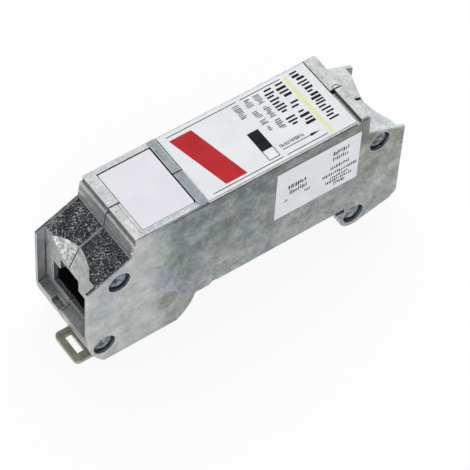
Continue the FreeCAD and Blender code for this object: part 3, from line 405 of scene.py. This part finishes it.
# silver-white polyester label with a satin top coat
label_film = moulded("white polyester film", "dcdfe2", "e3e5e8", roughness=0.40, cell=0.4, relief=0.004,
                     shine=0.3)
# screen inks, matt and slightly raised
black_ink = moulded("black screen ink", "0c0d10", "16171a", roughness=0.55, cell=0.3, relief=0.004,
                    shine=0.15)
grey_ink = moulded("grey screen ink", "5c5f64", "6c6f74", roughness=0.5, cell=0.3, relief=0.004,
                   shine=0.2)
red_ink = moulded("red screen ink", "b01520", "be2029", roughness=0.5, cell=0.3, relief=0.004,
                  shine=0.15)
yellow_ink = moulded("yellow screen ink", "dfdd9f", "e6e4b8", roughness=0.5, cell=0.06, relief=0.004,
                     shine=0.2)
white_ink = moulded("white screen ink", "f0f0f0", "f6f6f6", roughness=0.45, cell=0.3, relief=0.004)
# glass-fibre laminate under green solder mask, glossy with a weave showing
laminate = moulded("solder-masked laminate", "1d4a2a", "27593a", roughness=0.3, cell=0.35, relief=0.01)
# clear yellow-brown polyester insulating sheet
sheet_film = moulded("insulating film", "b89f62", "c7b078", roughness=0.34, cell=0.5, relief=0.004)
# black glass-filled nylon of the sockets
jack_plastic = moulded("black moulded nylon", "0a0a0c", "111214", roughness=0.5, cell=0.35, relief=0.01,
                       shine=0.25)
# glazed white ceramic of the gas tubes
tube_ceramic = moulded("glazed ceramic", "d4d0c4", "e0dcd2", roughness=0.25, cell=0.6, relief=0.004)
# black transfer-moulded epoxy with a matt skin
array_epoxy = moulded("moulded epoxy", "161616", "202021", roughness=0.55, cell=0.25, relief=0.01)

finish_of = {
    "housing_right": zinc, "housing_left": zinc, "marking_plate": plate_plastic,
    "top_label": label_film, "side_label": label_film, "rail_latch": strap_steel,
    "latch_spring": spring_steel, "insulating_sheet": sheet_film, "circuit_board": laminate,
    "earth_spring": bronze_strip,
}
for corner in ("front_upper", "front_lower", "rear_upper", "rear_lower"):
    finish_of["rivet_" + corner] = rivet_steel
for end in ("input", "output"):
    finish_of[end + "_jack_shield"] = tinned_sheet
    finish_of[end + "_jack_body"] = jack_plastic
    finish_of[end + "_jack_contacts"] = gold_wire
for number in ("1", "2", "3", "4"):
    finish_of["gas_tube_" + number] = tube_ceramic
    finish_of["diode_array_" + number] = array_epoxy
for name, finish in finish_of.items():
    for material_slot in nodes[name].material_slots:
        material_slot.material = finish


# Printing on the labels

def piece(name, mesh, finish):
    """Makes an object of a bmesh that is already in its place."""
    bmesh.ops.recalc_face_normals(mesh, faces=mesh.faces)
    data = bpy.data.meshes.new(name)
    mesh.to_mesh(data)
    mesh.free()
    data.materials.append(finish)
    made = bpy.data.objects.new(name, data)
    scene.collection.objects.link(made)
    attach(made, "body")
    return made


def block(mesh, low, high):
    """A block between two corners in millimetres."""
    low, high = mm(*low), mm(*high)
    block_place = Matrix.Translation((low + high) / 2) @ Matrix.Diagonal((*(high - low), 1.0))
    bmesh.ops.create_cube(mesh, size=1.0, matrix=block_place)


def ink_shape(mesh, corners, low, high):
    """A flat shape of ink on the top label, from its corners as (x, y)."""
    points = [mesh.verts.new(mm(x, y, low)) for x, y in corners]
    made = bmesh.ops.extrude_face_region(mesh, geom=[mesh.faces.new(points)])["geom"]
    upper = [vertex for vertex in made if isinstance(vertex, bmesh.types.BMVert)]
    bmesh.ops.translate(mesh, vec=mm(0, 0, high - low), verts=upper)


# Widths and gaps of the strokes, as shares of a plain stroke's width, and how
# far up a word's height they start and end
stroke_widths = (1.0, 1.0, 1.5)
stroke_gaps = (0.8, 1.0, 1.25)
stroke_feet = (0.0, 0.0, 0.2)
stroke_tops = (1.0, 1.0, 0.74)
narrowest_stroke = 0.6


def word(strokes, start, length, low, high, stroke, seed):
    """A printed word as a row of detached strokes of uneven height. They are
    listed along the reading direction, each as (from, to, low, high)."""
    dice = random.Random(seed)
    at = start
    while at < start + length - stroke * narrowest_stroke:
        wide = min(stroke * dice.choice(stroke_widths), start + length - at)
        top = dice.choice(stroke_tops)
        foot = dice.choice(stroke_feet)
        strokes.append((at, at + wide, low + (high - low) * foot, low + (high - low) * top))
        at += wide + stroke * dice.choice(stroke_gaps)


# Ink starts a little inside the film and stands a little proud of it.
ink_sunk, ink_proud = 0.01, 0.02
label_top = node_box("top_label")[1].z
ink_low, ink_high = label_top - ink_sunk, label_top + ink_proud


def print_on_top(name, fields, finish, low=ink_low, high=ink_high):
    """Rectangular fields of ink on the top label. Each is (from, to) along the
    reading direction, which is -Y, then (low, high) along +X."""
    mesh = bmesh.new()
    for across_from, across_to, x_low, x_high in fields:
        block(mesh, (x_low, -across_to, low), (x_high, -across_from, high))
    return piece(name, mesh, finish)


# Words of the top label: start, length, low, high, stroke width and seed
bold_words = ((-8.5, 15.2, 14.25, 16.6, 0.42, 11),
              (-7.7, 4.5, 9.6, 11.9, 0.46, 12),
              (-2.2, 1.8, 9.6, 11.9, 0.46, 13),
              (0.6, 4.4, 9.6, 11.9, 0.46, 14),
              (-7.7, 7.4, 6.75, 9.0, 0.46, 15),
              (0.7, 2.7, 6.75, 9.0, 0.46, 16))
# the small ones: start, length, low and high
small_words = ((-7.7, 2.5, 4.4, 5.9), (-4.2, 3.2, 4.4, 5.9), (-0.2, 2.6, 4.4, 5.9),
               (-7.7, 2.2, 1.9, 3.5), (-4.3, 2.1, 1.9, 3.5), (-1.6, 1.4, 1.9, 3.5),
               (0.3, 1.5, 2.3, 3.0), (-7.6, 3.8, -0.85, 0.75))
small_stroke = 0.2
arrow_word = (1.6, 6.0, -6.4, -5.55, small_stroke, 21)
white_word = (5.2, 2.0, -1.5, -0.3, 0.24, 41)
borders = [
    # both side borders of the label, each in two lengths
    (-8.47, -8.3, 1.75, 11.9), (-8.47, -8.3, -16.5, 0.75),
    (8.4, 8.57, 1.75, 11.9), (8.4, 8.57, -16.5, 0.75),
    # the arrow's shaft
    (6.87, 7.03, 1.65, 8.8),
    # a full field, with an open one beside it
    (-0.2, 5.15, -2.25, 0.5),
    (5.15, 7.8, 0.35, 0.5), (5.15, 7.8, -2.25, -2.1), (7.65, 7.8, -2.1, 0.35),
]
stripe = (-8.2, 8.5, 12.45, 13.3)
arrow_corners = [(8.6, -6.6), (8.6, -7.3), (11.1, -6.95)]
red_corners = [(-11.0, 7.4), (-16.4, 7.4), (-12.9, -7.8), (-7.7, -7.8)]

bold = []
for row in bold_words:
    word(bold, *row)
plain = []
for start, length, low, high in small_words:
    word(plain, start, length, low, high, small_stroke, int(start * 7) + int(low * 31))
# the word beside the arrow runs along it, so its two directions change places
beside_arrow = []
word(beside_arrow, *arrow_word)
plain += [(-high, -low, x_from, x_to) for x_from, x_to, low, high in beside_arrow]
print_on_top("title_print", bold, black_ink)
print_on_top("small_print", plain, grey_ink)
print_on_top("border_print", borders, black_ink)
print_on_top("yellow_stripe", [stripe], yellow_ink)

mesh = bmesh.new()
ink_shape(mesh, arrow_corners, ink_low, ink_high)
piece("arrow_head", mesh, black_ink)

mesh = bmesh.new()
ink_shape(mesh, red_corners, ink_low, ink_high)
piece("red_field", mesh, red_ink)
# white strokes lie over the red field
white_low, white_high = ink_high - 0.005, ink_high + 0.012
reverse = []
word(reverse, *white_word)
print_on_top("reverse_print", reverse, white_ink, white_low, white_high)

# The side label is a square-cut film, set back so that the print on it stays
# within the width.
film_low, film_high = node_box("side_label")
film_corner = 0.12
along_y = 0.9
mesh = bmesh.new()
block(mesh, (film_low.x, film_low.y + ink_proud, film_low.z), (film_high.x, film_high.y, film_high.z))
corners = [edge for edge in mesh.edges
           if abs((edge.verts[0].co - edge.verts[1].co).normalized().y) > along_y]
bmesh.ops.bevel(mesh, geom=corners, offset=mm(film_corner), segments=2, profile=0.5, affect="EDGES",
                material=-1)
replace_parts(piece("side_film", mesh, label_film), "side_label")

# words of the side label, from its front lower corner: start, length, low, high
side_words = ((13.9, 4.8, 7.15, 8.1), (12.0, 9.0, 5.2, 6.1), (14.0, 4.9, 3.9, 4.6),
              (12.9, 6.8, 2.7, 3.5), (15.1, 2.8, 1.4, 2.3), (2.3, 0.8, 4.4, 5.3),
              (7.4, 1.6, 4.6, 5.5), (3.1, 4.4, 8.3, 9.6), (3.5, 4.6, 6.4, 7.7),
              (14.3, 4.0, 11.6, 12.9), (14.3, 4.0, 9.8, 11.0))
side_stroke = 0.24
side_strokes = []
for start, length, low, high in side_words:
    word(side_strokes, film_low.x + start, length, film_low.z + low, film_low.z + high, side_stroke,
         int(start * 13) + int(low * 5))
mesh = bmesh.new()
for x_from, x_to, z_low, z_high in side_strokes:
    block(mesh, (x_from, film_low.y, z_low), (x_to, film_low.y + ink_proud + ink_sunk, z_high))
piece("side_print", mesh, black_ink)


# The latch's return spring, which shortens when the loop is pulled out, gets a mesh of its own.

mesh = bmesh.new()
mesh.from_mesh(nodes["latch_spring"].data)
bmesh.ops.remove_doubles(mesh, verts=mesh.verts, dist=mm(0.001))
spring = piece("return_spring", mesh, spring_steel)
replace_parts(spring, "latch_spring")
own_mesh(spring)


# Floor, world and lamps: a pale plain studio

ground = mm(node_box("housing_right")[0].z)
mesh = bmesh.new()
bmesh.ops.create_grid(mesh, x_segments=1, y_segments=1, size=1.5,
                      matrix=Matrix.Translation((0, 0, ground)))
floor_data = bpy.data.meshes.new("floor")
mesh.to_mesh(floor_data)
mesh.free()
floor = bpy.data.objects.new("floor", floor_data)
scene.collection.objects.link(floor)

# matt white paper; the camera and the metal see it nearly at full white
paper, tree = new_material("white paper")
seen = add(tree, "ShaderNodeLightPath").outputs
either = add(tree, "ShaderNodeMath", {"operation": "MAXIMUM"}, in_0=seen["Is Camera Ray"],
             in_1=seen["Is Glossy Ray"])
share = add(tree, "ShaderNodeMath", {"operation": "MULTIPLY", 1: 0.9}, in_0=either)
matt = add(tree, "ShaderNodeBsdfDiffuse", {"Color": colour("f2f2f2")})
lit = add(tree, "ShaderNodeEmission", {"Color": (1, 1, 1, 1), "Strength": 1.0})
both = add(tree, "ShaderNodeMixShader", in_0=share, in_1=matt, in_2=lit)
add(tree, "ShaderNodeOutputMaterial", Surface=both)
floor_data.materials.append(paper)

world = bpy.data.worlds.new("studio")
scene.world = world
world.use_nodes = True
tree = world.node_tree
tree.nodes.clear()
seen = add(tree, "ShaderNodeLightPath").outputs
way = add(tree, "ShaderNodeTexCoord").outputs["Generated"]
height = add(tree, "ShaderNodeSeparateXYZ", in_0=way).outputs["Z"]
# walls are pale up to about 15 degrees above the table, the ceiling is dark
walls = add(tree, "ShaderNodeValToRGB", {"stops": [(0.0, 1.0), (0.18, 0.85), (0.32, 0.10), (1.0, 0.08)]},
            Fac=height)
# matt surfaces are lit evenly from all round, and the camera sees white
shiny = add(tree, "ShaderNodeMix", {"data_type": "RGBA", 6: (0.58, 0.58, 0.58, 1.0)},
            in_0=seen["Is Glossy Ray"], in_7=walls)
white = add(tree, "ShaderNodeMix", {"data_type": "RGBA", 7: (1.0, 1.0, 1.0, 1.0)},
            in_0=seen["Is Camera Ray"], in_6=shiny)
light = add(tree, "ShaderNodeBackground", {"Strength": 1.0}, Color=white)
add(tree, "ShaderNodeOutputWorld", Surface=light)

# the lamps shine on the middle of the device
lit_point = mm(-8, 0, 10)


def softbox(name, toward, distance, size, radiance, shine=True):
    """A square lamp that shines on the object from a direction. Its distance
    and size are in metres."""
    data = bpy.data.lights.new(name, "AREA")
    data.shape = "SQUARE"
    data.size = size
    data.energy = radiance * math.pi * size * size
    lamp = bpy.data.objects.new(name, data)
    scene.collection.objects.link(lamp)
    lamp_place = lit_point + Vector(toward).normalized() * distance
    lamp_turn = Vector(toward).to_track_quat("Z", "Y").to_matrix().to_4x4()
    lamp.matrix_world = Matrix.Translation(lamp_place) @ lamp_turn
    lamp.visible_glossy = shine
    lamp.visible_camera = False


softbox("top_box", toward=(0.32, 0.49, 0.81), distance=0.95, size=0.85, radiance=1.9)
softbox("rear_panel", toward=(0.855, 0.47, 0.26), distance=0.9, size=0.5, radiance=1.5)
softbox("front_panel", toward=(-0.96, -0.30, 0.14), distance=0.8, size=0.35, radiance=1.3)
softbox("front_fill", toward=(-0.45, -0.78, 0.42), distance=1.1, size=0.9, radiance=1.4, shine=False)
